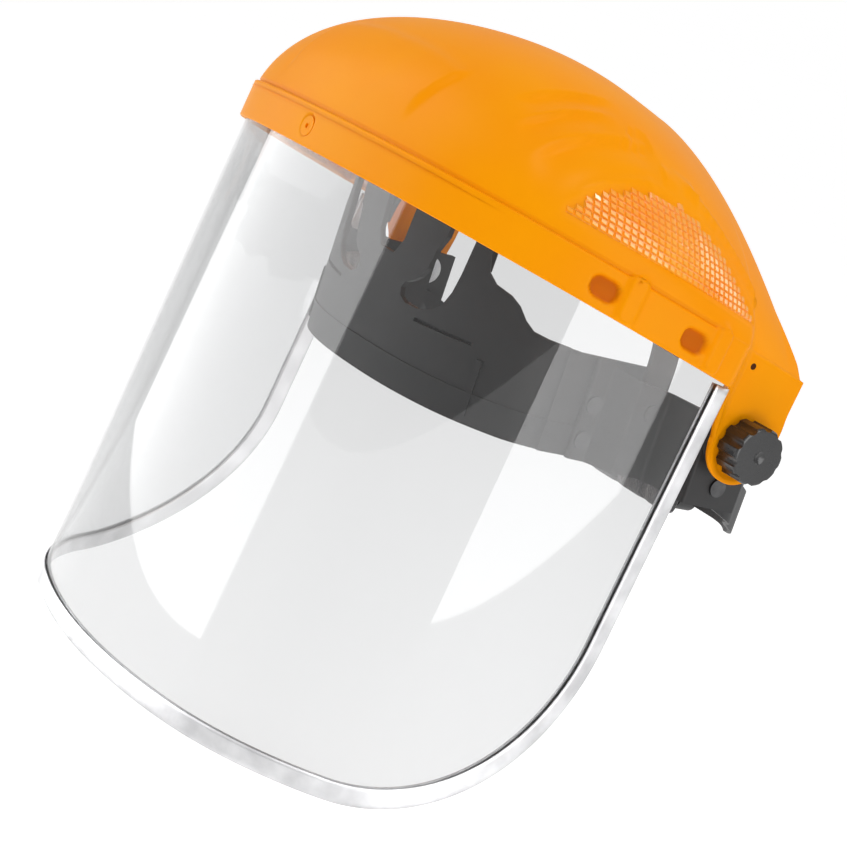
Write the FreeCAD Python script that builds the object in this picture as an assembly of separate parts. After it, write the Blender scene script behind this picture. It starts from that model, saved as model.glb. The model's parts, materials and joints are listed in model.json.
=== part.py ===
import FreeCAD, Part
import os
from math import pi, sin, cos, tan, radians, degrees, atan2, hypot

# A browguard face shield: a moulded crown with a clear visor, tilting on two clamped pivots
# beside an adjustable headgear.
# Frame: origin at the centre of the headband opening, level with its lower edge.
# +Z is up, the wearer faces -Y and the wearer's left is +X. Lengths are in millimetres.

Vec = FreeCAD.Vector

# ---- visor sheet and its edge trim
visor_flat_half = 200.0        # half of the sheet's width when it lies flat
visor_drop = 201.0             # from the rim's lower edge down to the lowest point of the sheet
visor_tuck = 11.0              # how far the sheet reaches up behind the rim
visor_thickness = 1.0
visor_corner = 74.0            # radius of the two lower corners
visor_bow = 15.0               # how much the lower edge bows downwards in the middle
front_radius = 211.0           # plan radius across the front of the face
front_half_angle = 15.9        # degrees of the front arc on each side
side_radius = 97.4             # plan radius at the temples
trim_width = 6.5
trim_wall = 0.55
trim_gap = 0.02                # between the sheet and the folded trim
trim_top_gap = 0.6             # below the crown's rim

# ---- crown
rim_height = 15.0
rim_slope = 5.5                # degrees that the rim falls towards the ears
crown_wall = 2.4
visor_gap = 0.4                # between the sheet and the inside of the rim
dome_height = 65.0             # above the top of the rim
dome_front_power = 2.1         # fullness of the dome's profile at the front
dome_back_power = 1.2          # and at the open back
dome_centre_back = 95.0        # from the front of the visor to where the dome is at full height
slot_first = 138.0             # the two windows in the rim on each side, along the sheet
slot_second = 174.5
slot_length = 10.5
slot_height = 8.0
tongue_width = 8.0             # the raised tongue behind each window
tongue_rise = 1.6
tongue_gap = 0.6               # between a window and its tongue
tongue_round = 1.2
dome_overlap = 1.0             # how far the rim reaches up inside the dome's wall
back_top = (136.0, 66.0)       # the open back's top point: back from the front, up from the rim edge
back_low = (157.0, 5.0)
ear_half_span = 119.0          # to the outer face of each ear
ear_wall = 3.0
ear_radius = 14.0
ear_front = 121.5              # the ear's front edge, back from the front of the visor
ear_back = 157.0
ear_hole_radius = 1.25
ear_hole_place = (-11.3, 28.0)  # from the pivot, back and up
stud_radius = 3.8
stud_shank_radius = 1.6
stud_depth = 0.9               # of the recess that holds its head

# ---- where the crown hangs on the headgear
pivot_back = 143.0             # from the front of the visor to the pivot axis
pivot_drop = 29.7              # from the rim's lower edge at the front down to the pivot axis
pivot_y = 26.0
pivot_z = 25.0
rest_lift = 8.0                # degrees that the crown is raised from its lowest place
running_gap = 0.06             # radial clearance of turning fits
face_gap = 0.3                 # between faces that pass each other

# ---- headband
band_half_width = 78.5
band_front = 48.0              # from the band's widest place to its front
band_wide_y = -17.0
band_power = 2.3
band_wall = 2.2
band_height = 38.0
band_plate_height = 46.0       # the plate over the forehead
band_arm_height = 66.0
band_straight = 26.0           # straight part behind the widest place
pad_thickness = 5.5
pad_height = 30.0
pad_gap = 0.3
bracket_rivet_back = 4.2       # from the band's widest place back to the bracket's rivets
bracket_rivet_heights = (21.0, 7.5)

# ---- side brackets, straps and overhead
bracket_wall = 2.8
bracket_half_span = 111.6      # to the bracket's outer face at the pivot
bracket_top = 38.5
bracket_low = -1.5
rivet_radius = 2.0
strap_wall = 1.6
strap_height = 17.0
cross_strap_width = 12.0
cross_strap_y = 7.0
cross_rivet_height = 24.0
root_rivet_back = 3.0          # from the pivot back to the nape strap's rivet
root_rivet_height = 7.0
strap_split = 2                # the flexible nape strap is split at this point of its path
overhead_top = 102.0
peg_radius = 1.8
peg_places = (-8, 8)
peg_holes = (-16, -8, 0, 8, 16)
layer_gap = 0.3

# ---- nape ratchet
nape_y = 87.0
nape_z = -11.5
pinion_teeth = 9
tooth_pitch = pi
tooth_half = 0.56              # half of a tooth's width at the pitch line
tooth_up = 0.85
tooth_down = 1.15
housing_half = 35.0
housing_height = 27.0
housing_wall = 2.2
strap_travel = 12.0
shaft_radius = 3.0
ratchet_knob_radius = 18.0
ratchet_knob_height = 12.0
housing_corner = 6.0
strap_clearance = 0.4          # round the straps inside the housing
screw_radius = 1.3

# ---- tilt knobs and their bolts
knob_radius = 10.8
knob_height = 10.8
knob_lobes = 10
bolt_radius = 3.0
bolt_head_radius = 6.0
bolt_head_height = 4.0
washer_radius = 11.0
insert_radius = 5.2
insert_depth = 6.0

# ---- sizes that follow from these
pitch_radius = pinion_teeth * tooth_pitch / (2 * pi)
layer_shift = strap_wall + layer_gap     # the right nape strap lies behind the left one
housing_split = nape_y - strap_wall / 2 - strap_clearance
housing_front = housing_split - housing_wall
housing_back = nape_y + layer_shift + strap_wall / 2 + strap_clearance + housing_wall
cross_rivet_place = (cross_strap_y, cross_rivet_height)
root_rivet_place = (pivot_y + root_rivet_back, root_rivet_height)


# ---------------------------------------------------------------- small helpers

def spline(points, closed=False):
    curve = Part.BSplineCurve()
    curve.interpolate([Vec(*p) for p in points], PeriodicFlag=closed)
    return curve.toShape()


def line(a, b):
    return Part.LineSegment(Vec(*a), Vec(*b)).toShape()


def arc(a, b, c):
    return Part.Arc(Vec(*a), Vec(*b), Vec(*c)).toShape()


def face_of(edges):
    return Part.Face(Part.Wire(Part.__sortEdges__(edges)))


def polygon_face(points):
    return Part.Face(Part.makePolygon([Vec(*p) for p in points + points[:1]]))


def side_prism(profile, half_width=400.0):
    """A prism across the whole width from a profile of (y, z) points."""
    face = polygon_face([(-half_width, y, z) for y, z in profile])
    return face.extrude(Vec(2 * half_width, 0, 0))


def cylinder_x(radius, x_from, x_to, y=0.0, z=0.0):
    low = min(x_from, x_to)
    return Part.makeCylinder(radius, abs(x_to - x_from), Vec(low, y, z), Vec(1, 0, 0))


def cylinder_y(radius, y_from, y_to, x=0.0, z=0.0):
    return Part.makeCylinder(radius, y_to - y_from, Vec(x, y_from, z), Vec(0, 1, 0))


def box(low, high):
    size = [high[i] - low[i] for i in range(3)]
    return Part.makeBox(size[0], size[1], size[2], Vec(*low))


def mirrored(shape):
    return shape.mirror(Vec(0, 0, 0), Vec(1, 0, 0))


def joined(first, *others):
    result = first
    for other in others:
        result = result.fuse(other)
    return result.removeSplitter()


def group(*solids):
    return Part.makeCompound(list(solids))


def write(name, shape):
    shape.exportStep("parts/" + name + ".step")
    print(name, round(shape.Volume / 1000.0, 2), "cm3", len(shape.Solids), "solid(s)")


def strip_face(points, thickness, z, first_way, last_way):
    """A plan strip of even thickness along a smooth path of (x, y) points, with its end directions."""
    path = Part.BSplineCurve()
    path.interpolate([Vec(x, y, z) for x, y in points], InitialTangent=Vec(*first_way),
                     FinalTangent=Vec(*last_way))
    count = 4 * len(points)
    low, high = path.FirstParameter, path.LastParameter
    sides = ([], [])
    for i in range(count + 1):
        t = low + (high - low) * i / count
        place, along = path.value(t), path.tangent(t)[0]
        across = Vec(-along.y, along.x, 0) * (thickness / 2)
        sides[0].append(place + across)
        sides[1].append(place - across)
    edges = [spline(sides[0]), spline(sides[1])]
    edges += [line(sides[0][0], sides[1][0]), line(sides[0][-1], sides[1][-1])]
    return face_of(edges)


# ---------------------------------------------------------------- crown and visor
# These are built in the visor's own frame: origin at the front of the visor at the rim's
# lower edge, Y back, Z up along the sheet. on_headgear() then hangs them on the pivots.

def on_headgear(shape):
    moved = shape.copy()
    moved.translate(Vec(0, -pivot_back, pivot_drop))
    moved.rotate(Vec(0, 0, 0), Vec(1, 0, 0), -rest_lift)
    moved.translate(Vec(0, pivot_y, pivot_z))
    return moved


turn_front = radians(front_half_angle)
turn_end = turn_front + (visor_flat_half - front_radius * turn_front) / side_radius
side_centre = ((front_radius - side_radius) * sin(turn_front),
               front_radius - (front_radius - side_radius) * cos(turn_front))


def plan_at_turn(turn, offset=0.0):
    """Point of the visor's plan where its outward normal has turned by this angle."""
    size = abs(turn)
    if size <= turn_front:
        x, y, radius = 0.0, front_radius, front_radius + offset
    else:
        x, y, radius = side_centre[0], side_centre[1], side_radius + offset
    sign = 1 if turn >= 0 else -1
    return sign * (x + radius * sin(size)), y - radius * cos(size)


def plan_at_length(length, offset=0.0):
    """The same, by length along the sheet from its middle."""
    front_length = front_radius * turn_front
    if length <= front_length:
        return plan_at_turn(length / front_radius, offset)
    return plan_at_turn(turn_front + (length - front_length) / side_radius, offset)


def plan_edges(offset, turn, z):
    """The plan curve from -turn to turn as three arcs."""
    stops = [-turn, -turn_front, turn_front, turn]
    edges = []
    for a, b in zip(stops, stops[1:]):
        points = [plan_at_turn(t, offset) + (z,) for t in (a, (a + b) / 2, b)]
        edges.append(arc(*points))
    return edges


def plan_wall(inner, outer, z_low, z_high, turn=None):
    """A wall between two offsets of the plan curve."""
    turn = turn or turn_end
    edges = plan_edges(inner, turn, z_low) + plan_edges(outer, turn, z_low)
    for side in (-turn, turn):
        edges.append(line(plan_at_turn(side, inner) + (z_low,), plan_at_turn(side, outer) + (z_low,)))
    return face_of(edges).extrude(Vec(0, 0, z_high - z_low))


def sheet_outline(inset):
    """(y, z) points of the sheet's side and lower edge, drawn in by an inset."""
    corner = visor_corner - inset
    points = []
    steps = 12
    for i in range(steps + 1):
        angle = pi / 2 * i / steps
        length = visor_flat_half - visor_corner + corner * cos(angle)
        bow = visor_bow * (1 - (length / visor_flat_half) ** 2)
        height = -(visor_drop - visor_corner - visor_bow) - corner * sin(angle) - bow
        points.append((plan_at_length(length)[1], height))
    start = visor_flat_half - visor_corner
    for i in range(1, 7):
        length = start * (1 - i / 6)
        bow = visor_bow * (1 - (length / visor_flat_half) ** 2)
        points.append((plan_at_length(length)[1], -(visor_drop - inset - visor_bow) - bow))
    return points


def sheet_prism(inset, top):
    """Everything inside the sheet's outline, as seen from the side."""
    points = [(-400.0, y, z) for y, z in sheet_outline(inset)]
    first, last = points[0], points[-1]
    ahead = (-400.0, -30.0, last[2])
    corners = [(-400.0, first[1], top), (-400.0, -30.0, top)]
    edges = [spline(points), line(last, ahead), line(ahead, corners[1]),
             line(corners[1], corners[0]), line(corners[0], first)]
    return face_of(edges).extrude(Vec(800, 0, 0))


def above_rim_edge(drop=0.0):
    """Everything above the crown's sloping lower edge, lowered by drop."""
    fall = tan(radians(rim_slope))
    return side_prism([(-60, 60 * fall - drop), (260, -260 * fall - drop), (260, 260), (-60, 260)])


def below_rim_top():
    """Everything below the top of the rim, where the dome's wall takes over."""
    fall = tan(radians(rim_slope))
    height = rim_height + dome_overlap
    return side_prism([(-60, -300), (260, -300), (260, height - 260 * fall), (-60, height + 60 * fall)])


def make_visor():
    half = visor_thickness / 2
    sheet = plan_wall(-half, half, -visor_drop - 10, visor_tuck + 5)
    top = side_prism([(-60, -400), (260, -400), (260, -260 * tan(radians(rim_slope)) + visor_tuck),
                      (-60, 60 * tan(radians(rim_slope)) + visor_tuck)])
    sheet = sheet.common(sheet_prism(0.0, visor_tuck + 20)).common(top)
    hole = Part.makeCylinder(stud_shank_radius + 0.1, 20, Vec(0, 0, -10))
    return sheet.cut(place_on_plan(hole, 0.0, rim_height / 2))


def make_trim():
    half = visor_thickness / 2 + trim_gap + trim_wall
    slot = visor_thickness / 2 + trim_gap
    outside = sheet_prism(-trim_wall, 60)
    inside = sheet_prism(trim_width, 60)
    past_edge = turn_end + (trim_wall / side_radius)
    skin = plan_wall(-half, half, -visor_drop - 10, 30, past_edge)
    channel = plan_wall(-slot, slot, -visor_drop - 10, 30)
    trim = skin.common(outside).cut(inside)
    trim = trim.cut(channel.common(sheet_prism(-trim_gap, 60)))
    return trim.cut(above_rim_edge(trim_top_gap))


def place_on_plan(shape, length, height):
    """Place a shape at this length along the sheet: its X runs along the rim, its Y up, its Z out."""
    x, y = plan_at_length(length)
    near = plan_at_length(length, 1.0)
    out = Vec(near[0] - x, near[1] - y, 0)
    along = Vec(-out.y, out.x, 0)
    moved = shape.copy()
    moved.Placement = FreeCAD.Placement(Vec(0, 0, 0), FreeCAD.Rotation(along, Vec(0, 0, 1), out, "ZXY"))
    moved.translate(Vec(x, y, height - y * tan(radians(rim_slope))))
    return moved


def plan_half_width(back, offset):
    """Half of the crown's width, this far back from the front of the visor."""
    front = front_radius + offset
    side = side_radius + offset
    corner = plan_at_turn(turn_front, offset)[1]
    if back <= corner:
        return (front ** 2 - (front_radius - back) ** 2) ** 0.5
    wide = side_centre[0] + (side ** 2 - (side_centre[1] - min(back, ear_front)) ** 2) ** 0.5
    ear = ear_half_span - (visor_gap + visor_thickness / 2 + crown_wall - offset)
    share = max(0.0, min(1.0, (back - ear_front + 8.0) / 16.0))
    share = share * share * (3 - 2 * share)
    return wide + (ear - wide) * share


def dome_section(back, offset, height):
    """Half-width, height and fullness of the dome's upright section at one place."""
    rise = max(0.0, (dome_centre_back - back) / (dome_centre_back + offset))
    tall = height * (1 - rise ** dome_front_power) ** (1 / dome_front_power)
    share = max(0.0, min(1.0, (back - 20.0) / 130.0))
    power = dome_front_power + (dome_back_power - dome_front_power) * share ** 1.5
    return plan_half_width(back, offset), tall, power


def dome_solid(offset, height, base):
    """The dome as a loft of upright arches from the front to past the open back."""
    wires = []
    front_steps = (0.4, 2.2, 6, 13, 24, 40, 60, 82, 100, 112)
    back_steps = (116, 120, 124, 128, 132, 145, 170)
    for step in front_steps + back_steps:
        back = step - offset
        wide, tall, power = dome_section(back, offset, height)
        half = []
        for i in range(1, 10):
            angle = pi / 2 * i / 10
            half.append((wide * cos(angle) ** (2 / power), base + tall * sin(angle) ** (2 / power)))
        half = [(wide, base), (wide * 0.998, base + tall * 0.03)] + half
        points = [(x, back, z) for x, z in half] + [(0, back, base + tall)]
        points += [(-x, back, z) for x, z in reversed(half)]
        wires.append(Part.Wire([spline(points), line(points[-1], points[0])]))
    split = len(front_steps)
    front = Part.makeLoft(wires[:split], True, False)
    return front.fuse(Part.makeLoft(wires[split - 1:], True, True))


def tip_to_rim(shape):
    moved = shape.copy()
    moved.rotate(Vec(0, 0, 0), Vec(1, 0, 0), -rim_slope)
    return moved


def make_crown():
    inner = visor_thickness / 2 + visor_gap
    outer = inner + crown_wall
    # the rim band in front of the sheet
    top = below_rim_top()
    rim = plan_wall(inner, outer, -60, 60).common(above_rim_edge()).common(top)
    # the dome over it
    base = rim_height - crown_wall
    shell = dome_solid(outer, dome_height + crown_wall, base)
    hollow = dome_solid(inner, dome_height, base - 0.2)
    shell = tip_to_rim(shell.cut(hollow))
    back_cut = side_prism([back_low, back_top, (back_top[0] - 30, back_top[1] + 90), (600, 150),
                           (600, -60), (back_low[0] + 1, -60)])
    shell = shell.cut(back_cut)
    crown = rim.fuse(shell)
    ear = make_ear()
    crown = crown.fuse(ear).fuse(mirrored(ear))
    middle = rim_height / 2
    crown = crown.cut(place_on_plan(Part.makeCylinder(stud_shank_radius, 20, Vec(0, 0, -10)), 0.0, middle))
    recess = Part.makeCylinder(stud_radius + 0.2, 10, Vec(0, 0, outer - stud_depth))
    crown = crown.cut(place_on_plan(recess, 0.0, middle))
    for length in (slot_first, slot_second):
        slot = box((-slot_length / 2, -slot_height / 2, -3), (slot_length / 2, slot_height / 2, 12))
        tongue = box((0, -rim_height / 2 + 0.5, inner + 0.5), (tongue_width, rim_height / 2, outer + tongue_rise))
        tongue = tongue.makeFillet(tongue_round, [e for e in tongue.Edges if e.BoundBox.ZMin > outer + 0.5])
        slot = place_on_plan(slot, length, middle)
        tongue = place_on_plan(tongue, length + slot_length / 2 + tongue_gap, middle)
        crown = crown.cut(slot).cut(mirrored(slot)).fuse(tongue).fuse(mirrored(tongue))
    return crown.removeSplitter()


def make_ear():
    """The left ear: a flat plate round the pivot with a wall that leads in from the rim."""
    fall = tan(radians(rim_slope))
    inner_x = ear_half_span - ear_wall
    centre = (pivot_back, -pivot_drop)
    top_z = rim_height - ear_front * fall
    start = (ear_front, -ear_front * fall)
    lead = (centre[0] - ear_radius, centre[1])
    x = inner_x
    points = [(x, ear_back, centre[1]), (x, ear_back, back_low[1]), (x, ear_back - 1, top_z - 3),
              (x, ear_front, top_z), (x,) + start, (x,) + lead]
    edges = [line(a, b) for a, b in zip(points, points[1:])]
    edges.append(arc((x,) + lead, (x, centre[0], centre[1] - ear_radius), (x, ear_back, centre[1])))
    plate = face_of(edges).extrude(Vec(ear_wall, 0, 0))
    inner = visor_thickness / 2 + visor_gap
    a = plan_at_turn(turn_end, inner)
    b = plan_at_turn(turn_end, inner + crown_wall)
    web = polygon_face([a + (-60,), b + (-60,), (ear_half_span, ear_front + 6, -60),
                        (inner_x, ear_front + 6, -60), (inner_x, ear_front + 1, -60)])
    web = web.extrude(Vec(0, 0, 120)).common(above_rim_edge())
    web = web.common(below_rim_top())
    ear = plate.fuse(web)
    ear = ear.cut(cylinder_x(bolt_radius + running_gap, 90, 140, centre[0], centre[1]))
    hole = (centre[0] + ear_hole_place[0], centre[1] + ear_hole_place[1])
    return ear.cut(cylinder_x(ear_hole_radius, 90, 140, hole[0], hole[1]))


def make_stud():
    outer = visor_thickness / 2 + visor_gap + crown_wall
    head = Part.makeCylinder(stud_radius, 0.8, Vec(0, 0, outer - stud_depth))
    shank = Part.makeCylinder(stud_shank_radius, outer + 1.2, Vec(0, 0, -1.2))
    foot = Part.makeCylinder(stud_radius - 0.6, 0.9, Vec(0, 0, -1.5))
    dimple = Part.makeCylinder(1.0, 2.0, Vec(0, 0, outer - 1.0))
    return place_on_plan(joined(head, shank, foot).cut(dimple), 0.0, rim_height / 2)


# ---------------------------------------------------------------- headband

def band_point(share, offset=0.0):
    """Plan of the headband: share 0 is the front, 1 its widest place on the left."""
    angle = pi / 2 * share
    reach_x = sin(angle) ** (2 / band_power) if angle > 0 else 0.0
    reach_y = cos(angle) ** (2 / band_power) if share < 1 else 0.0
    return (band_half_width + offset) * reach_x, band_wide_y - (band_front + offset) * reach_y


def band_curve(offset, straight, z):
    """Edges of the band's plan from its right end round the front to its left end."""
    shares = [0.0, 0.1, 0.22, 0.36, 0.5, 0.64, 0.78, 0.9, 1.0]
    half = [band_point(s, offset) for s in shares]
    points = [(-x, y, z) for x, y in reversed(half[1:])] + [(x, y, z) for x, y in half]
    curve = Part.BSplineCurve()
    curve.interpolate([Vec(*p) for p in points], InitialTangent=Vec(0, -1, 0), FinalTangent=Vec(0, 1, 0))
    end = band_half_width + offset
    edges = [curve.toShape()]
    for side in (-1, 1):
        if straight > 0:
            edges.append(line((side * end, band_wide_y, z), (side * end, band_wide_y + straight, z)))
    return edges


def band_wall_solid(inner, outer, z_low, z_high, straight):
    edges = band_curve(inner, straight, z_low) + band_curve(outer, straight, z_low)
    end = band_wide_y + straight
    for side in (-1, 1):
        edges.append(line((side * (band_half_width + inner), end, z_low),
                          (side * (band_half_width + outer), end, z_low)))
    return face_of(edges).extrude(Vec(0, 0, z_high - z_low))


def band_lengths():
    """Lookup of length along the band's outer face against its plan points."""
    table = [(0.0,) + band_point(0.0)]
    for i in range(1, 201):
        x, y = band_point(i / 200)
        table.append((table[-1][0] + hypot(x - table[-1][1], y - table[-1][2]), x, y))
    return table


def band_place(length):
    """Point and outward direction on the band's outer face, by length from the front."""
    table = band_lengths()
    end = table[-1]
    if length >= end[0]:
        return (end[1], end[2] + length - end[0]), (1.0, 0.0)
    for a, b in zip(table, table[1:]):
        if b[0] >= length:
            along = (b[1] - a[1], b[2] - a[2])
            size = hypot(*along)
            return (b[1], b[2]), (along[1] / size, -along[0] / size)


def band_cutter(middle, outline):
    """A prism through the left side of the band from an outline of (length, height) points."""
    place, out = band_place(middle)
    along = (-out[1], out[0])
    points = []
    for length, height in outline:
        step = length - middle
        points.append((place[0] + along[0] * step - out[0] * 14, place[1] + along[1] * step - out[1] * 14,
                       height))
    return polygon_face(points).extrude(Vec(out[0] * 30, out[1] * 30, 0))


def make_front_headband():
    band = band_wall_solid(-band_wall, 0.0, 0.0, band_arm_height, band_straight)
    above = band_arm_height + 5
    # over the forehead the wall stops at the plate
    window = [(-11, 0, above), (-9, 0, band_plate_height + 6), (-5, 0, band_plate_height),
              (5, 0, band_plate_height), (9, 0, band_plate_height + 6), (11, 0, above)]
    window = [(x, band_wide_y - band_front - 20, z) for x, y, z in window]
    band = band.cut(polygon_face(window).extrude(Vec(0, 60, 0)))
    hook = [(32.5, above), (31.5, 60), (28.5, 54), (27, 46.5), (24.5, 42.5), (21, 40), (17.5, 38.5),
            (16, 36), (17, 33), (21, 31.3), (29, 31.5), (35, 33.5), (39.5, 37), (42, 42.5), (43.5, 50),
            (46, above)]
    shoulder = [(54.5, above), (54.5, 60), (55.8, 54.5), (59.5, 51.3), (66, 49.5), (70, 47), (73.5, 43),
                (77.3, 40.3), (83.5, 39.2), (97, band_height), (112, band_height), (112, above)]
    level = box((-100, band_wide_y - 6, band_height), (100, band_wide_y + 60, above))
    band = band.cut(level)
    slit = [(28.5, 26.8), (57, 27.6), (57, 28.8), (28.5, 28.2)]
    for cutter in (band_cutter(31, hook), band_cutter(78, shoulder), band_cutter(43, slit)):
        band = band.cut(cutter).cut(mirrored(cutter))
    rib = band_wall_solid(-1.0, 0.6, 10.2, 11.6, 0.0)
    band = band.fuse(rib)
    for side in (1, -1):
        clip = band_cutter(62, [(60.8, 3), (63.2, 3), (63.2, 24), (60.8, 24)])
        clip = clip.common(band_wall_solid(-1.0, 0.8, 0, 40, 0.0))
        band = band.fuse(clip if side == 1 else mirrored(clip))
    holes = rivet_places()
    for y, z in holes:
        band = band.cut(cylinder_x(rivet_radius, -100, 100, y, z))
    return band.removeSplitter()


def make_sweatband():
    outer = -band_wall - pad_gap
    pad = band_wall_solid(outer - pad_thickness, outer, 1.0, 1.0 + pad_height, 0.0)
    return pad


def rivet_places():
    return [(band_wide_y + bracket_rivet_back, height) for height in bracket_rivet_heights]


# ---------------------------------------------------------------- side brackets and pivots

def mitred_strip(points, thickness, z):
    """A plan strip of even thickness along straight runs, with mitred corners."""
    sides = ([], [])
    for i, (x, y) in enumerate(points):
        before = points[max(i - 1, 0)]
        after = points[min(i + 1, len(points) - 1)]
        ways = []
        for a, b in ((before, (x, y)), ((x, y), after)):
            size = hypot(b[0] - a[0], b[1] - a[1])
            if size > 0:
                ways.append(((b[0] - a[0]) / size, (b[1] - a[1]) / size))
        first, last = ways[0], ways[-1]
        across = Vec(-(first[1] + last[1]), first[0] + last[0], 0)
        across.normalize()
        reach = thickness / 2 / abs(across.x * -first[1] + across.y * first[0])
        sides[0].append((x + across.x * reach, y + across.y * reach, z))
        sides[1].append((x - across.x * reach, y - across.y * reach, z))
    return polygon_face(sides[0] + sides[1][::-1])


def bracket_middle_x():
    """Plan centre line of the bracket's middle flat, where the overhead strap is riveted."""
    return band_half_width + 10.0


def make_bracket():
    """The left bracket: flat against the band in front, stepped out to the pivot behind."""
    near = band_half_width + face_gap / 3 + bracket_wall / 2
    far = bracket_half_span - bracket_wall / 2
    middle = bracket_middle_x()
    reach = cross_strap_width / 2 + 1.0
    path = [(near, band_wide_y + 0.5), (near, cross_strap_y - reach - 8), (middle, cross_strap_y - reach - 1),
            (middle, cross_strap_y + reach), (far, pivot_y - bolt_head_radius - 3), (far, pivot_y + 14)]
    wall = mitred_strip(path, bracket_wall, -10).extrude(Vec(0, 0, 70))
    corners = [e for e in wall.Edges if abs(e.tangentAt(e.FirstParameter).z) > 0.9
               and band_wide_y < e.BoundBox.Center.y < pivot_y + 10]
    wall = wall.makeFillet(1.2, corners)
    front = band_wide_y
    profile = [(front - 3, 0), (pivot_y + 18, bracket_low), (pivot_y + 18, bracket_top - 6),
               (cross_strap_y + 8, bracket_top - 6), (cross_strap_y - 8, bracket_top - 4),
               (front - 3, band_height + 1.5)]
    bracket = wall.common(side_prism(profile))
    bracket = bracket.cut(cylinder_x(bolt_radius, 60, 130, pivot_y, pivot_z))
    for y, z in rivet_places() + [cross_rivet_place, root_rivet_place]:
        bracket = bracket.cut(cylinder_x(rivet_radius, 60, 130, y, z))
    return bracket


def make_strap_rivets():
    """Rivets that hold the overhead strap and the nape strap to each bracket."""
    rivets = []
    outer = bracket_middle_x() + bracket_wall / 2
    runs = [(outer, bracket_wall + strap_wall, cross_rivet_place),
            (bracket_half_span, bracket_wall + strap_wall + 0.1, root_rivet_place)]
    for x, depth, (y, z) in runs:
        rivet = joined(cylinder_x(rivet_radius, x - depth, x, y, z),
                       cylinder_x(rivet_radius + 1.4, x, x + 0.9, y, z),
                       cylinder_x(rivet_radius + 1.2, x - depth - 0.8, x - depth, y, z))
        rivets += [rivet, mirrored(rivet)]
    return group(*rivets)


def make_rivets():
    inner = band_half_width - band_wall
    outer = band_half_width + face_gap / 3 + bracket_wall
    rivets = []
    for y, z in rivet_places():
        rivet = joined(cylinder_x(rivet_radius, inner - 0.6, outer + 0.6, y, z),
                       cylinder_x(rivet_radius + 1.4, outer, outer + 0.9, y, z),
                       cylinder_x(rivet_radius + 1.2, inner - 0.8, inner, y, z))
        rivets += [rivet, mirrored(rivet)]
    return group(*rivets)


def make_bolt():
    inner_face = bracket_half_span - bracket_wall
    end = ear_half_span + face_gap + knob_height - 3.0
    shank = cylinder_x(bolt_radius, inner_face - 1, end, pivot_y, pivot_z)
    head = cylinder_x(bolt_head_radius, inner_face - bolt_head_height, inner_face, pivot_y, pivot_z)
    return joined(shank, head)


def make_washer():
    inner = bracket_half_span
    outer = ear_half_span - ear_wall - face_gap
    ring = cylinder_x(washer_radius, inner, outer, pivot_y, pivot_z)
    return ring.cut(cylinder_x(bolt_radius, inner - 1, outer + 1, pivot_y, pivot_z))


def lobed_knob(radius, height, lobes, depth, across):
    """A knob along +Z with scalloped sides."""
    knob = Part.makeCylinder(radius, height)
    knob = knob.makeFillet(1.2, [e for e in knob.Edges if e.BoundBox.ZMin > height - 0.01])
    for i in range(lobes):
        angle = 2 * pi * i / lobes
        reach = radius + across - depth
        flute = Part.makeCylinder(across, height + 2, Vec(reach * cos(angle), reach * sin(angle), -1))
        knob = knob.cut(flute)
    return knob


def make_tilt_knob():
    knob = lobed_knob(knob_radius, knob_height, knob_lobes, 1.1, 2.6)
    dimple = Part.makeSphere(4.0, Vec(0, 0, knob_height + 3.2))
    bore = Part.makeCylinder(bolt_radius + running_gap, knob_height - 2.4, Vec(0, 0, -0.01))
    pocket = hexagon(insert_radius, insert_depth)
    knob = knob.cut(dimple).cut(bore).cut(pocket)
    return to_left_pivot(knob)


def hexagon(radius, height):
    points = [(radius * cos(pi / 3 * i), radius * sin(pi / 3 * i), 0) for i in range(6)]
    return polygon_face(points).extrude(Vec(0, 0, height))


def to_left_pivot(shape):
    moved = shape.copy()
    moved.rotate(Vec(0, 0, 0), Vec(0, 1, 0), 90)
    moved.translate(Vec(ear_half_span + face_gap, pivot_y, pivot_z))
    return moved


def make_insert():
    nut = hexagon(insert_radius, insert_depth)
    return to_left_pivot(nut.cut(Part.makeCylinder(bolt_radius + running_gap, insert_depth)))


# ---------------------------------------------------------------- nape straps and ratchet

def strap_path(shift):
    """The left nape strap's plan, from the bracket to the straight run at the nape."""
    start = bracket_half_span - bracket_wall - strap_wall / 2 - 0.1
    run_end = housing_half + strap_travel + 3
    return [(start, pivot_y + 12), (run_end + 47, 52 + shift / 2), (run_end + 34.5, 67.5 + shift),
            (run_end + 19, 80 + shift), (run_end, nape_y + shift)]


def strap_side_profile():
    half = strap_height / 2
    front, level = pivot_y + 6, nape_y - 8
    middle = 7.0
    return [(front - 14, middle - half), (front, middle - half), (level, nape_z - half),
            (nape_y + 8, nape_z - half), (nape_y + 8, nape_z + half), (level, nape_z + half),
            (front, middle + half), (front - 14, middle + half)]


def strap_wall_solid(shift):
    path = strap_path(shift)
    y = nape_y + shift
    start, end = path[0], path[-1]
    bend = strip_face(path, strap_wall, -40, (0, 60, 0), (-60, 0, 0)).extrude(Vec(0, 0, 90))
    run = box((-16, y - strap_wall / 2, -40), (end[0], y + strap_wall / 2, 50))
    root = box((start[0] - strap_wall / 2, pivot_y - 4, -40), (start[0] + strap_wall / 2, start[1], 50))
    return bend.fuse(run).fuse(root)


def split_box(shift, root):
    """Half space on the bracket's side or the nape's side of the strap's split."""
    place = strap_path(shift)[strap_split]
    gap = 0.25
    angle = 48.0
    size = 300
    block = box((gap, -size, -60), (size, size, 60)) if root else box((-size, -size, -60), (-gap, size, 60))
    block.rotate(Vec(0, 0, 0), Vec(0, 0, 1), -angle)
    block.translate(Vec(place[0], place[1], 0))
    return block


def make_strap_root(shift):
    wall = strap_wall_solid(shift)
    root = wall.common(side_prism(strap_side_profile())).common(split_box(shift, True))
    y, z = root_rivet_place
    return root.cut(cylinder_x(rivet_radius, 60, 130, y, z))


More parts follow.
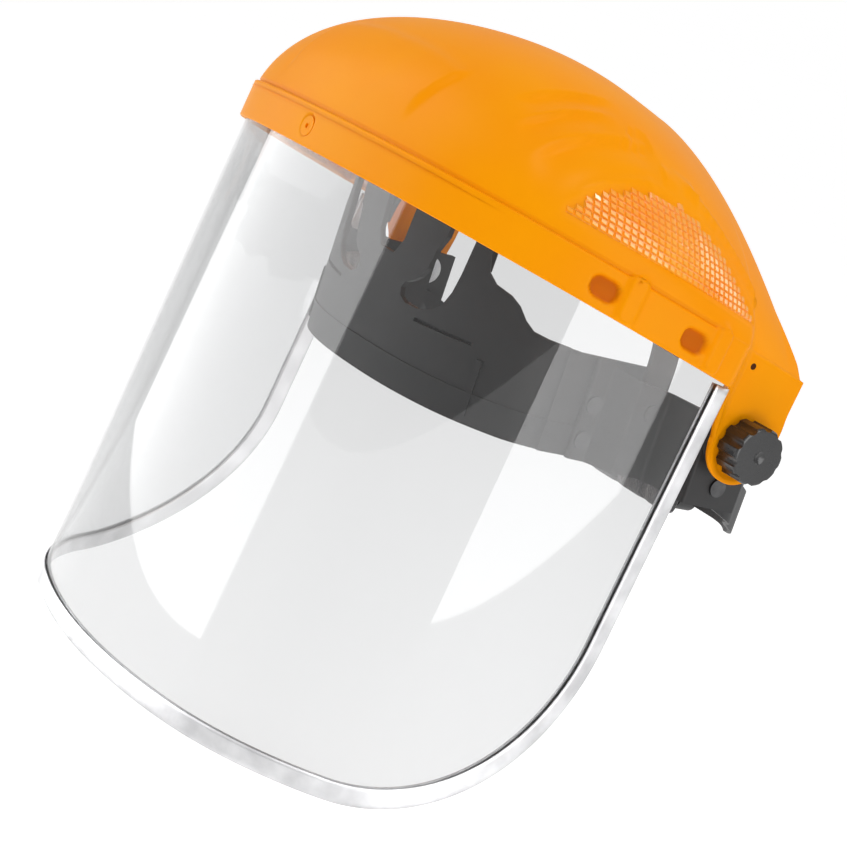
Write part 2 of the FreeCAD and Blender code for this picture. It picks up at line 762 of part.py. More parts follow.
def rack_teeth(x_from, x_to, edge_z, sense, phase, y_low, y_high):
    """Rack teeth that grow from the pitch line edge_z against sense, between two ends."""
    teeth = []
    first = int((x_from - phase) // tooth_pitch) + 1
    while phase + first * tooth_pitch < x_to:
        x = phase + first * tooth_pitch
        if x - 1 > x_from and x + 1 < x_to:
            wide, narrow = tooth_half + 0.35, tooth_half - 0.28
            points = [(x - wide, y_low, edge_z + sense * (tooth_down + 0.2)),
                      (x + wide, y_low, edge_z + sense * (tooth_down + 0.2)),
                      (x + narrow, y_low, edge_z - sense * tooth_up),
                      (x - narrow, y_low, edge_z - sense * tooth_up)]
            teeth.append(polygon_face(points).extrude(Vec(0, y_high - y_low, 0)))
        first += 1
    return teeth


def make_nape_strap(shift, rack_side):
    """The sliding part of the left strap. rack_side is 1 for teeth over the pinion, -1 under."""
    y = nape_y + shift
    strap = strap_wall_solid(shift).common(side_prism(strap_side_profile()))
    strap = strap.common(split_box(shift, False))
    y_low, y_high = y - strap_wall / 2, y + strap_wall / 2
    tip = pitch_radius + tooth_up + 0.5
    x_from, x_to = -tip - 0.6, tip + 0.6 + strap_travel
    toothed = nape_z + rack_side * (pitch_radius + tooth_down)
    plain = nape_z - rack_side * tip
    slot = box((x_from, y_low - 1, min(toothed, plain)), (x_to, y_high + 1, max(toothed, plain)))
    strap = strap.cut(slot)
    # the pinion has a tooth straight up, so a gap of the upper rack and a tooth of the lower face it
    phase = tooth_pitch / 2 if rack_side == 1 else 0.0
    edge = nape_z + rack_side * pitch_radius
    for tooth in rack_teeth(x_from, x_to, edge, rack_side, phase, y_low, y_high):
        strap = strap.fuse(tooth)
    return strap.removeSplitter()


def make_pinion():
    y_low, y_high = nape_y - strap_wall / 2 - 0.3, nape_y + layer_shift + strap_wall / 2 + 0.3
    root = pitch_radius - tooth_down
    pinion = cylinder_y(root, y_low, y_high, 0, nape_z)
    for i in range(pinion_teeth):
        angle = 2 * pi * i / pinion_teeth
        outline = [(-tooth_half - 0.3, root - 0.4), (tooth_half + 0.3, root - 0.4),
                   (tooth_half, pitch_radius), (tooth_half - 0.25, pitch_radius + tooth_up),
                   (-tooth_half + 0.25, pitch_radius + tooth_up), (-tooth_half, pitch_radius)]
        points = [(x * cos(angle) + r * sin(angle), y_low, nape_z - x * sin(angle) + r * cos(angle))
                  for x, r in outline]
        pinion = pinion.fuse(polygon_face(points).extrude(Vec(0, y_high - y_low, 0)))
    shaft = cylinder_y(shaft_radius, y_high - 0.1, housing_back + 7.0, 0, nape_z)
    return pinion.fuse(shaft).removeSplitter()


def make_housing_front():
    half = housing_height / 2
    plate = box((-housing_half, housing_front, nape_z - half), (housing_half, housing_split, nape_z + half))
    upright = [e for e in plate.Edges if abs(e.tangentAt(e.FirstParameter).y) > 0.9]
    plate = plate.makeFillet(housing_corner, upright)
    for x, z in housing_screw_places():
        plate = plate.cut(cylinder_y(screw_radius, housing_front - 1, housing_split + 1, x, z))
    return plate


def make_housing_back():
    half = housing_height / 2
    shell = box((-housing_half, housing_split, nape_z - half), (housing_half, housing_back, nape_z + half))
    upright = [e for e in shell.Edges if abs(e.tangentAt(e.FirstParameter).y) > 0.9]
    shell = shell.makeFillet(housing_corner, upright)
    passage = strap_height / 2 + strap_clearance
    shell = shell.cut(box((-housing_half - 1, housing_split - 1, nape_z - passage),
                          (housing_half + 1, housing_back - housing_wall, nape_z + passage)))
    shell = shell.cut(cylinder_y(shaft_radius + running_gap, housing_front, housing_back + 1, 0, nape_z))
    for x, z in housing_screw_places():
        shell = shell.cut(cylinder_y(screw_radius, housing_split - 1, housing_back - 1.4, x, z))
    return shell


def housing_screw_places():
    rise = housing_height / 2 - 2.2
    return [(-housing_half + 12, nape_z + rise), (housing_half - 12, nape_z + rise),
            (-housing_half + 12, nape_z - rise), (housing_half - 12, nape_z - rise)]


def make_housing_screws():
    screws = []
    for x, z in housing_screw_places():
        screw = cylinder_y(screw_radius, housing_front, housing_back - 1.4, x, z)
        head = cylinder_y(2.1, housing_front - 1.0, housing_front, x, z)
        screws.append(joined(screw, head))
    return group(*screws)


def make_ratchet_knob():
    knob = lobed_knob(ratchet_knob_radius, ratchet_knob_height, 14, 1.3, 3.2)
    knob = knob.cut(Part.makeCylinder(shaft_radius, 6.8, Vec(0, 0, -0.01)))
    recess = Part.makeCylinder(ratchet_knob_radius - 4.0, 2.6, Vec(0, 0, -0.01))
    recess = recess.cut(Part.makeCylinder(shaft_radius + 2.0, 2.6, Vec(0, 0, -0.01)))
    return to_nape(knob.cut(recess).cut(Part.makeCylinder(1.6, 20)))


def to_nape(shape):
    moved = shape.copy()
    moved.rotate(Vec(0, 0, 0), Vec(1, 0, 0), -90)
    moved.translate(Vec(0, housing_back + face_gap, nape_z))
    return moved


def make_detent_spring():
    """The click ring under the knob: a hub ring with three bowed arms that end in bumps."""
    inner, outer = shaft_radius + 2.1, ratchet_knob_radius - 4.4
    ring = Part.makeCylinder(inner + 1.6, 1.2, Vec(0, 0, 0.9)).cut(Part.makeCylinder(inner, 3))
    for i in range(3):
        arm = box((inner + 1, -1.1, 0.9), (outer - 0.6, 1.1, 2.1))
        bump = Part.makeCylinder(1.1, 1.2, Vec(outer - 1.2, 0, 0.9))
        arm = arm.fuse(bump)
        arm.rotate(Vec(0, 0, 0), Vec(0, 0, 1), 120 * i)
        ring = ring.fuse(arm)
    return to_nape(ring.removeSplitter())


def make_knob_screw():
    head = Part.makeCylinder(3.0, 1.2, Vec(0, 0, ratchet_knob_height))
    shank = Part.makeCylinder(1.6, ratchet_knob_height - 6.7, Vec(0, 0, 6.8))
    return to_nape(joined(head, shank))


def make_nape_pad():
    half = housing_half + 4
    edges = [arc((-half, housing_front - 1.6, nape_z - 15), (0, housing_front - 1.3, nape_z - 15),
                 (half, housing_front - 1.6, nape_z - 15)),
             arc((-half, housing_front - 5.0, nape_z - 15), (0, housing_front - 8.0, nape_z - 15),
                 (half, housing_front - 5.0, nape_z - 15)),
             line((-half, housing_front - 1.6, nape_z - 15), (-half, housing_front - 5.0, nape_z - 15)),
             line((half, housing_front - 1.6, nape_z - 15), (half, housing_front - 5.0, nape_z - 15))]
    return face_of(edges).extrude(Vec(0, 0, 30))


# ---------------------------------------------------------------- overhead straps

def make_cross_strap(lift):
    """Half of the strap over the head, from the left bracket to past the middle."""
    foot = bracket_middle_x() - bracket_wall / 2
    rise = overhead_top - bracket_top + lift
    y_low = cross_strap_y - cross_strap_width / 2
    arch = ellipse_arch(foot, rise, foot - strap_wall, rise - strap_wall, bracket_top, y_low,
                        cross_strap_width)
    keep = box((-24, y_low - 1, bracket_top), (foot + 5, y_low + cross_strap_width + 1, 2 * overhead_top))
    leg = box((foot - strap_wall, y_low, cross_rivet_place[1] - 6), (foot, y_low + cross_strap_width, bracket_top))
    strap = arch.common(keep).fuse(leg)
    strap = strap.cut(cylinder_x(rivet_radius, 60, 130, *cross_rivet_place))
    for x in peg_holes:
        strap = strap.cut(Part.makeCylinder(peg_radius, 40, Vec(x, cross_strap_y, overhead_top - 15)))
    return strap.removeSplitter()


def ellipse_arch(a, c, a_in, c_in, base, y_low, width):
    """An arch in the X-Z plane between two half ellipses."""
    edges = []
    for reach, rise in ((a, c), (a_in, c_in)):
        points = [(reach * cos(pi * i / 16), y_low, base + rise * sin(pi * i / 16)) for i in range(17)]
        edges.append(spline(points))
    for side in (1, -1):
        edges.append(line((side * a, y_low, base), (side * a_in, y_low, base)))
    return face_of(edges).extrude(Vec(0, width, 0))


def make_pegs():
    pegs = []
    for x in peg_places:
        shank = Part.makeCylinder(peg_radius, 6.2, Vec(x, cross_strap_y, overhead_top - 3.2))
        head = Part.makeCylinder(peg_radius + 1.2, 1.0, Vec(x, cross_strap_y, overhead_top - 4.2))
        pegs.append(joined(shank, head))
    return group(*pegs)


def make_top_strap():
    """The strap from the headband's arms up to the cross strap: four legs that meet on a hub."""
    reach = band_wall + face_gap
    middle = 50.0
    top = overhead_top - strap_wall - layer_gap
    centre = Vec(0, band_wide_y, middle)
    outer = ellipsoid(centre, band_half_width - reach, band_front - reach, top - middle)
    reach += strap_wall
    inner = ellipsoid(centre, band_half_width - reach, band_front - reach, top - strap_wall - middle)
    hub = box((-10, band_wide_y - 14, middle), (10, cross_strap_y + 9, middle + 90))
    plan = hub
    for foot, width in ((20, 13.0), (50, 8.5)):
        (x, y), out = band_place(foot)
        leg = box((-width / 2, 0, middle), (width / 2, 110, middle + 90))
        leg.rotate(Vec(0, 0, 0), Vec(0, 0, 1), degrees(atan2(x, band_wide_y - y)))
        leg.translate(Vec(x * 1.1, band_wide_y + (y - band_wide_y) * 1.1, 0))
        leg = leg.cut(box((-200, -200, 0), (0, 200, 300))).cut(box((-200, band_wide_y + 6, 0), (200, 200, 300)))
        plan = plan.fuse(leg).fuse(mirrored(leg))
    strap = outer.cut(inner).common(plan).common(box((-100, -120, middle + 4), (100, 60, middle + 90)))
    for x in peg_places:
        strap = strap.cut(Part.makeCylinder(peg_radius, 60, Vec(x, cross_strap_y, middle + 20)))
    return strap


def ellipsoid(centre, a, b, c):
    ball = Part.makeSphere(1.0)
    matrix = FreeCAD.Matrix()
    matrix.scale(a, b, c)
    ball = ball.transformGeometry(matrix)
    ball.translate(centre)
    return ball


# ---------------------------------------------------------------- the model

def main():
    os.makedirs("parts", exist_ok=True)
    write("crown_shell", on_headgear(make_crown()))
    write("visor_sheet", on_headgear(make_visor()))
    write("visor_edge_trim", on_headgear(make_trim()))
    write("front_visor_stud", on_headgear(make_stud()))
    write("front_headband", make_front_headband())
    write("sweatband", make_sweatband())
    write("bracket_rivets", make_rivets())
    write("strap_rivets", make_strap_rivets())
    write("top_strap", make_top_strap())
    write("strap_pegs", make_pegs())
    sides = (("left", lambda shape: shape), ("right", mirrored))
    for side, place in sides:
        write(side + "_side_bracket", place(make_bracket()))
        write(side + "_pivot_bolt", place(make_bolt()))
        write(side + "_friction_washer", place(make_washer()))
        write(side + "_tilt_knob", place(make_tilt_knob()))
        write(side + "_knob_insert", place(make_insert()))
    write("left_cross_strap", make_cross_strap(0.0))
    write("right_cross_strap", mirrored(make_cross_strap(strap_wall + layer_gap)))
    write("left_strap_root", make_strap_root(0.0))
    write("right_strap_root", mirrored(make_strap_root(layer_shift)))
    write("left_nape_strap", make_nape_strap(0.0, 1))
    write("right_nape_strap", mirrored(make_nape_strap(layer_shift, -1)))
    write("ratchet_pinion", make_pinion())
    write("nape_housing_front", make_housing_front())
    write("nape_housing_back", make_housing_back())
    write("housing_screws", make_housing_screws())
    write("ratchet_knob", make_ratchet_knob())
    write("detent_spring", make_detent_spring())
    write("knob_screw", make_knob_screw())
    write("nape_pad", make_nape_pad())


main()
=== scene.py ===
import json
import bpy
import bmesh
from math import pi, sin, cos, tan, acos, atan2, radians, hypot
from mathutils import Vector, Matrix


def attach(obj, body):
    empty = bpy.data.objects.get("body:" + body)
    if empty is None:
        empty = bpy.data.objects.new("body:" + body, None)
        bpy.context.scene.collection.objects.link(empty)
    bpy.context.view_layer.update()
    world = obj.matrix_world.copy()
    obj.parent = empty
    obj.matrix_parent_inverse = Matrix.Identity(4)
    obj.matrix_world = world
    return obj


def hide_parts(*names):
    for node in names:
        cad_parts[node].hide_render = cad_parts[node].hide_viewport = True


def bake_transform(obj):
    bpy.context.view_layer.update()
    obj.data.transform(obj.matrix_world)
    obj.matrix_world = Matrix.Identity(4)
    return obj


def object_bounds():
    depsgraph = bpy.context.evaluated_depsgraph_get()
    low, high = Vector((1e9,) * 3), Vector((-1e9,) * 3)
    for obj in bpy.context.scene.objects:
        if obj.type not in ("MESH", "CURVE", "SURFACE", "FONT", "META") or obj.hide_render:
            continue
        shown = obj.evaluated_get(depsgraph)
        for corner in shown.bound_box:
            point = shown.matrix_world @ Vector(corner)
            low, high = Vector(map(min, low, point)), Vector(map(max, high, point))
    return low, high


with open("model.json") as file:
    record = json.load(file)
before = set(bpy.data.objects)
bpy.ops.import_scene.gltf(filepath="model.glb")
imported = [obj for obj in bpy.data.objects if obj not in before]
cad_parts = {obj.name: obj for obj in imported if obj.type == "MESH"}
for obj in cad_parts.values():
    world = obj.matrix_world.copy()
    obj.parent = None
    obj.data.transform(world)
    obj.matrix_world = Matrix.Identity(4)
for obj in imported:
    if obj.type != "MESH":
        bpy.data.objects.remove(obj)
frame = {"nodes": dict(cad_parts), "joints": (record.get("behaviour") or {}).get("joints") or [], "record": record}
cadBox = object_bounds()
mm = 0.001

# Pieces are modelled in millimetres and shrunk to metres as they are finished.
# Crown and visor are modelled in the visor's own frame: its front middle at the rim's lower edge
# is the origin, Y runs back, Z up along the sheet. They are then hung on the tilt pivots.

hang = dict(
    pivotBack=143.0,      # from the visor's front to the pivots
    pivotDrop=29.7,       # from the rim's edge down to the pivots
    restLift=8.0,         # degrees
)
plan = dict(
    frontRadius=211.0,    # across the face
    frontTurn=15.9,       # degrees, each side
    sideRadius=97.4,      # at the temples
    halfLength=200.0,     # of the flat sheet
)


def smooth(value, low, high):
    share = min(1.0, max(0.0, (value - low) / (high - low)))
    return share * share * (3 - 2 * share)


def bump(value, middle, half, soft):
    return smooth(half - abs(value - middle), 0.0, soft)


def mix(a, b, share):
    return a + (b - a) * share


def curveValue(points, at):
    for (a, low), (b, high) in zip(points, points[1:]):
        if at <= b:
            return mix(low, high, max(0.0, (at - a) / (b - a)))
    return points[-1][1]


def spread(stops):
    values = [stops[0][0]]
    for start, end, step in stops:
        count = max(1, round((end - start) / step))
        values += [start + (end - start) * i / count for i in range(1, count + 1)]
    return values


def planPoint(length, offset=0.0):
    size = abs(length)
    turn = radians(plan["frontTurn"])
    frontLength = plan["frontRadius"] * turn
    lead = plan["frontRadius"] - plan["sideRadius"]
    if size <= frontLength:
        angle, x, y, radius = size / plan["frontRadius"], 0.0, plan["frontRadius"], plan["frontRadius"]
    else:
        angle = turn + (size - frontLength) / plan["sideRadius"]
        x, y, radius = lead * sin(turn), plan["frontRadius"] - lead * cos(turn), plan["sideRadius"]
    side = x + (radius + offset) * sin(angle)
    return (side if length >= 0 else -side), y - (radius + offset) * cos(angle)


def planLength(x, y):
    turn = radians(plan["frontTurn"])
    lead = plan["frontRadius"] - plan["sideRadius"]
    angle = atan2(abs(x), plan["frontRadius"] - y)
    if angle <= turn:
        return plan["frontRadius"] * angle
    angle = atan2(abs(x) - lead * sin(turn), plan["frontRadius"] - lead * cos(turn) - y)
    return plan["frontRadius"] * turn + (angle - turn) * plan["sideRadius"]


pivot = [joint for joint in frame["joints"] if joint["name"] == "visor_tilt"][0]["pos_m"]


def hangMatrix():
    toPivot = Matrix.Translation((0, -hang["pivotBack"], hang["pivotDrop"]))
    turned = Matrix.Rotation(-radians(hang["restLift"]), 4, "X")
    return Matrix.Translation((0, pivot[1] / mm, pivot[2] / mm)) @ turned @ toPivot


def gridMesh(columns, rows, place):
    bm = bmesh.new()
    bmesh.ops.create_grid(bm, x_segments=columns - 1, y_segments=rows - 1, size=1.0)
    for vert in bm.verts:
        i = round((vert.co.x + 1) / 2 * (columns - 1))
        j = round((vert.co.y + 1) / 2 * (rows - 1))
        vert.co = place(i, j)
    return bm


def finishPiece(bm, name, body, material, hung=False, outward=None):
    if hung:
        bmesh.ops.transform(bm, matrix=hangMatrix(), verts=bm.verts)
    bmesh.ops.scale(bm, vec=(mm, mm, mm), verts=bm.verts)
    if outward is not None:
        bmesh.ops.recalc_face_normals(bm, faces=bm.faces)
    for face in bm.faces:
        face.smooth = True
    mesh = bpy.data.meshes.new(name)
    bm.to_mesh(mesh)
    bm.free()
    piece = bpy.data.objects.new(name, mesh)
    bpy.context.scene.collection.objects.link(piece)
    mesh.materials.append(material)
    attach(piece, body)
    return piece


def solidify(piece, thickness, offset):
    wall = piece.modifiers.new("wall", "SOLIDIFY")
    wall.thickness = thickness * mm
    wall.offset = offset
    wall.use_even_offset = False
    return wall


def sharpen(piece, degrees):
    piece.data.set_sharp_from_angle(angle=radians(degrees))


def startMaterial(name):
    material = bpy.data.materials.new(name)
    material.use_nodes = True
    nodes = material.node_tree.nodes
    shader = [node for node in nodes if node.type == "BSDF_PRINCIPLED"][0]
    return material, nodes, material.node_tree.links, shader


def objectNoise(nodes, links, scale, detail=3.0, stretch=(1, 1, 1)):
    where = nodes.new("ShaderNodeTexCoord")
    mapping = nodes.new("ShaderNodeMapping")
    mapping.inputs["Scale"].default_value = stretch
    noise = nodes.new("ShaderNodeTexNoise")
    noise.inputs["Scale"].default_value = scale
    noise.inputs["Detail"].default_value = detail
    links.new(where.outputs["Object"], mapping.inputs["Vector"])
    links.new(mapping.outputs["Vector"], noise.inputs["Vector"])
    return noise.outputs["Fac"]


def ramp(nodes, links, source, stops):
    node = nodes.new("ShaderNodeValToRGB")
    while len(node.color_ramp.elements) < len(stops):
        node.color_ramp.elements.new(0.5)
    for element, (place, colour) in zip(node.color_ramp.elements, stops):
        element.position = place
        element.color = colour if len(colour) == 4 else (*colour, 1)
    links.new(source, node.inputs["Fac"])
    return node.outputs["Color"]


def mapRange(nodes, links, source, low, high):
    node = nodes.new("ShaderNodeMapRange")
    node.inputs["To Min"].default_value = low
    node.inputs["To Max"].default_value = high
    links.new(source, node.inputs["Value"])
    return node.outputs["Result"]


def bumpFrom(nodes, links, shader, source, strength, distance):
    node = nodes.new("ShaderNodeBump")
    node.inputs["Strength"].default_value = strength
    node.inputs["Distance"].default_value = distance
    links.new(source, node.inputs["Height"])
    links.new(node.outputs["Normal"], shader.inputs["Normal"])
    return node


def plasticMaterial(name, look):
    material, nodes, links, shader = startMaterial(name)
    cloud = objectNoise(nodes, links, look["cloudScale"])
    colours = [(0.3, look["dark"]), (0.7, look["light"])]
    colour = ramp(nodes, links, cloud, colours)
    if "recess" in look:     # painted shade: darker orange at the bottoms of the moulded windows, where shade falls in the recesses
        depth = nodes.new("ShaderNodeAttribute")
        depth.attribute_name = "recess"
        both = nodes.new("ShaderNodeMix")
        both.data_type = "RGBA"
        both.inputs[7].default_value = (*look["recess"], 1)
        links.new(depth.outputs["Fac"], both.inputs[0])
        links.new(colour, both.inputs[6])
        colour = both.outputs[2]
    links.new(colour, shader.inputs["Base Color"])
    grain = objectNoise(nodes, links, look["grainScale"], 2.0)
    low, high = look["roughness"]
    links.new(mapRange(nodes, links, grain, low, high), shader.inputs["Roughness"])
    bumpFrom(nodes, links, shader, grain, look["bump"], look["bumpDepth"])
    shader.inputs["IOR"].default_value = 1.5
    shader.inputs["Specular IOR Level"].default_value = look.get("specular", 0.5)
    shader.inputs["Coat Weight"].default_value = look.get("coat", 0.0)
    shader.inputs["Coat Roughness"].default_value = look.get("coatRoughness", 0.1)
    return material


# the crown's recess colour is painted shade: a darker orange for the bottoms of the rim's window recesses
crownLook = dict(
    dark=(0.99, 0.318, 0.0), light=(1.0, 0.352, 0.0), cloudScale=18.0, grainScale=900.0,
    roughness=(0.34, 0.42), bump=0.02, bumpDepth=0.0001, specular=0.04, recess=(0.66, 0.15, 0.0),
)
# the vent panel's orange is brighter and yellower than the crown's: partly painted highlight standing in for the
# glints on its bumps, which also get real gloss from the coat
ventLook = dict(
    dark=(1.0, 0.33, 0.0), light=(1.0, 0.42, 0.02), cloudScale=40.0, grainScale=900.0,
    roughness=(0.14, 0.22), bump=0.02, bumpDepth=0.0001, coat=0.7, coatRoughness=0.05,
)
headgearLook = dict(
    dark=(0.020, 0.020, 0.021), light=(0.031, 0.031, 0.032), cloudScale=26.0, grainScale=90.0,
    roughness=(0.48, 0.58), bump=0.004, bumpDepth=0.0001, specular=0.35,
)
# painted shade: the dark brown of a shaded hole in the orange plastic
holeShadeLook = dict(
    dark=(0.05, 0.012, 0.0), light=(0.09, 0.02, 0.0), cloudScale=60.0, grainScale=900.0,
    roughness=(0.6, 0.8), bump=0.03, bumpDepth=0.0001, specular=0.1,
)
knobLook = dict(
    dark=(0.008, 0.008, 0.009), light=(0.016, 0.016, 0.017), cloudScale=60.0, grainScale=2200.0,
    roughness=(0.22, 0.38), bump=0.12, bumpDepth=0.0001, coat=0.3, coatRoughness=0.15,
)
acetalLook = dict(
    dark=(0.55, 0.53, 0.48), light=(0.66, 0.64, 0.59), cloudScale=50.0, grainScale=1800.0,
    roughness=(0.35, 0.5), bump=0.1, bumpDepth=0.0001,
)
rubberLook = dict(
    dark=(0.012, 0.012, 0.012), light=(0.022, 0.022, 0.022), cloudScale=80.0, grainScale=3000.0,
    roughness=(0.75, 0.9), bump=0.3, bumpDepth=0.0001,
)


def visorMaterial():
    material, nodes, links, shader = startMaterial("clearPolycarbonate")
    nodes.remove(shader)
    output = [node for node in nodes if node.type == "OUTPUT_MATERIAL"][0]
    clear = nodes.new("ShaderNodeBsdfTransparent")
    gloss = nodes.new("ShaderNodeBsdfGlossy")
    gloss.inputs["Roughness"].default_value = 0.02
    gloss.inputs["Color"].default_value = (1, 1, 1, 1)
    haze = objectNoise(nodes, links, 9.0, 2.0, (1, 1, 0.2))
    tint = ramp(nodes, links, haze, [(0.25, (0.820, 0.822, 0.824)), (0.75, (0.846, 0.848, 0.850))])
    links.new(tint, clear.inputs["Color"])
    edge = nodes.new("ShaderNodeLayerWeight")
    edge.inputs["Blend"].default_value = 0.5
    steep = nodes.new("ShaderNodeMath")
    steep.operation = "POWER"
    steep.inputs[1].default_value = 5.0
    links.new(edge.outputs["Facing"], steep.inputs[0])
    both = nodes.new("ShaderNodeMixShader")
    links.new(mapRange(nodes, links, steep.outputs["Value"], 0.04, 0.9), both.inputs["Fac"])
    links.new(clear.outputs["BSDF"], both.inputs[1])
    links.new(gloss.outputs["BSDF"], both.inputs[2])
    links.new(both.outputs["Shader"], output.inputs["Surface"])
    return material


def metalMaterial(name, look):
    material, nodes, links, shader = startMaterial(name)
    cloud = objectNoise(nodes, links, look["cloudScale"])
    colours = [(0.3, look["dark"]), (0.7, look["light"])]
    links.new(ramp(nodes, links, cloud, colours), shader.inputs["Base Color"])
    grain = objectNoise(nodes, links, look["grainScale"], 4.0, look["stretch"])
    low, high = look["roughness"]
    links.new(mapRange(nodes, links, grain, low, high), shader.inputs["Roughness"])
    bumpFrom(nodes, links, shader, grain, look["bump"], 0.0001)
    shader.inputs["Metallic"].default_value = 1.0
    return material


trimLook = dict(
    dark=(0.52, 0.52, 0.53), light=(0.72, 0.72, 0.73), cloudScale=90.0, grainScale=160.0,
    stretch=(1, 1, 1), roughness=(0.42, 0.55), bump=0.25,
)
steelLook = dict(
    dark=(0.45, 0.45, 0.46), light=(0.62, 0.62, 0.62), cloudScale=200.0, grainScale=900.0,
    stretch=(1, 1, 6), roughness=(0.25, 0.4), bump=0.2,
)
rivetLook = dict(
    dark=(0.06, 0.06, 0.062), light=(0.10, 0.10, 0.102), cloudScale=200.0, grainScale=900.0,
    stretch=(1, 1, 1), roughness=(0.4, 0.55), bump=0.1,
)
brassLook = dict(
    dark=(0.62, 0.42, 0.14), light=(0.78, 0.56, 0.22), cloudScale=200.0, grainScale=900.0,
    stretch=(1, 6, 1), roughness=(0.2, 0.35), bump=0.2,
)


def padMaterial():
    material, nodes, links, shader = startMaterial("terryCloth")
    cloud = objectNoise(nodes, links, 70.0, 4.0)
    colours = [(0.3, (0.030, 0.031, 0.034)), (0.7, (0.060, 0.061, 0.065))]
    links.new(ramp(nodes, links, cloud, colours), shader.inputs["Base Color"])
    where = nodes.new("ShaderNodeTexCoord")
    loops = nodes.new("ShaderNodeTexVoronoi")
    loops.inputs["Scale"].default_value = 950.0
    links.new(where.outputs["Object"], loops.inputs["Vector"])
    links.new(mapRange(nodes, links, loops.outputs["Distance"], 0.95, 0.75), shader.inputs["Roughness"])
    bumpFrom(nodes, links, shader, loops.outputs["Distance"], 0.8, 0.0006)
    shader.inputs["Sheen Weight"].default_value = 0.4
    shader.inputs["Sheen Roughness"].default_value = 0.5
    return material


crownPlastic = plasticMaterial("crownPlastic", crownLook)
ventPlastic = plasticMaterial("ventPlastic", ventLook)
holeShade = plasticMaterial("holeShade", holeShadeLook)
headgearPlastic = plasticMaterial("headgearPlastic", headgearLook)
knobPlastic = plasticMaterial("knobPlastic", knobLook)
acetal = plasticMaterial("acetal", acetalLook)
rubber = plasticMaterial("rubber", rubberLook)
clearSheet = visorMaterial()
trimMetal = metalMaterial("trimAluminium", trimLook)
steel = metalMaterial("zincSteel", steelLook)
brass = metalMaterial("brass", brassLook)
rivetMetal = metalMaterial("blackenedSteel", rivetLook)
terry = padMaterial()
print("materials made")


crown = dict(
    rimTop=15.3,          # height of the band above the rim's edge
    rimSlope=5.5,         # degrees that the rim falls towards the ears
    wall=2.4,
    outset=3.3,           # from the sheet's middle to the crown's outer face
    domeBase=12.6,
    domeHeight=67.4,
    frontPower=2.1,       # fullness of the dome at its front and its open back
    backPower=1.2,
    poleBack=95.0,
    earHalfSpan=119.0,
    earFront=121.5,
    earBack=157.0,
    earRadius=14.0,
    backLow=(157.0, 5.0),
    backTop=(136.0, 66.0),
    grooveDepth=0.8,
)
windows = dict(
    middles=(138.0, 174.5), halfLength=5.3, halfHeight=4.0, corner=3.6, depth=1.9, height=7.2,
    tongueGap=0.6, tongueHalf=4.0, tongueTall=9.2, tongueCorner=3.6, tongueRise=1.6, tongueHeight=8.6,
)
slope = radians(crown["rimSlope"])


def halfWidth(back):
    front = plan["frontRadius"] + crown["outset"]
    side = plan["sideRadius"] + crown["outset"]
    lead = plan["frontRadius"] - plan["sideRadius"]
    turn = radians(plan["frontTurn"])
    if back <= plan["frontRadius"] - front * cos(turn):
        return max(0.0, front ** 2 - (plan["frontRadius"] - back) ** 2) ** 0.5
    middle = plan["frontRadius"] - lead * cos(turn)
    wide = lead * sin(turn) + (side ** 2 - (middle - min(back, crown["earFront"])) ** 2) ** 0.5
    share = smooth(back, crown["earFront"] - 8, crown["earFront"] + 8)
    return mix(wide, crown["earHalfSpan"], share)


def domeHeightAt(x, back):
    rise = max(0.0, (crown["poleBack"] - back) / (crown["poleBack"] + crown["outset"]))
    front = crown["frontPower"]
    tall = crown["domeHeight"] * max(0.0, 1 - rise ** front) ** (1 / front)
    power = front + (crown["backPower"] - front) * min(1.0, max(0.0, (back - 20) / 130)) ** 1.5
    wide = halfWidth(back)
    inside = 1 - (abs(x) / wide) ** power if wide > 0 else 0.0
    return tall * max(0.0, inside) ** (1 / power)


def backEdge(z):
    (lowY, lowZ), (topY, topZ) = crown["backLow"], crown["backTop"]
    lean = (lowY - topY) / (topZ - lowZ)
    free = lowY + lean * lowZ
    return (free - z * (sin(slope) + lean * cos(slope))) / (cos(slope) - lean * sin(slope))


def tipped(x, y, z):
    return Vector((x, y * cos(slope) + z * sin(slope), -y * sin(slope) + z * cos(slope)))


def domePlace(column, share):
    base = crown["domeBase"]
    if column["kind"] == "front":
        x = column["x"] * share
        y = mix(crown["poleBack"], column["y"], share)
        return x, y, base + domeHeightAt(x, y)
    z = base
    for _ in range(5):
        end = min(backEdge(z), crown["earBack"] + 2.0)
        y = mix(crown["poleBack"], end, column["share"])
        x = halfWidth(y) * share
        z = base + domeHeightAt(x, y)
    return x, y, z


def shareAtHeight(column, height):
    low, high = 0.0, 1.0
    for _ in range(22):
        middle = (low + high) / 2
        if domePlace(column, middle)[2] - crown["domeBase"] > height:
            low = middle
        else:
            high = middle
    return high


def lowerEdge(back):
    rim = -back * tan(slope)
    front, radius = crown["earFront"], crown["earRadius"]
    middle = hang["pivotBack"]
    if back <= front:
        return rim
    if back <= middle - radius:
        return mix(-front * tan(slope), -hang["pivotDrop"], (back - front) / (middle - radius - front))
    return -hang["pivotDrop"] - max(0.0, radius ** 2 - (back - middle) ** 2) ** 0.5


def crownColumns():
    columns = []
    reach = planLength(halfWidth(crown["poleBack"]), crown["poleBack"])
    for length in spread([(0, 6, 0.6), (6, 122, 1.7), (122, reach, 0.75)]):
        x, y = planPoint(length, crown["outset"])
        columns.append(dict(kind="front", x=x, y=y))
    columns[-1]["y"] = crown["poleBack"]
    pole, front, end = crown["poleBack"], crown["earFront"], crown["earBack"]
    backs = spread([(pole, front, 0.8), (front, hang["pivotBack"] - crown["earRadius"], 1.2)])[1:]
    backs += [hang["pivotBack"] - crown["earRadius"] * cos(pi * i / 28) for i in range(1, 29)]
    for back in backs:
        columns.append(dict(kind="rear", x=halfWidth(back), y=back, share=(back - pole) / (end - pole)))
    return columns


def roundedBox(dx, dy, halfX, halfY, corner):
    qx, qy = abs(dx) - halfX + corner, abs(dy) - halfY + corner
    return hypot(max(qx, 0.0), max(qy, 0.0)) + min(max(qx, qy), 0.0) - corner


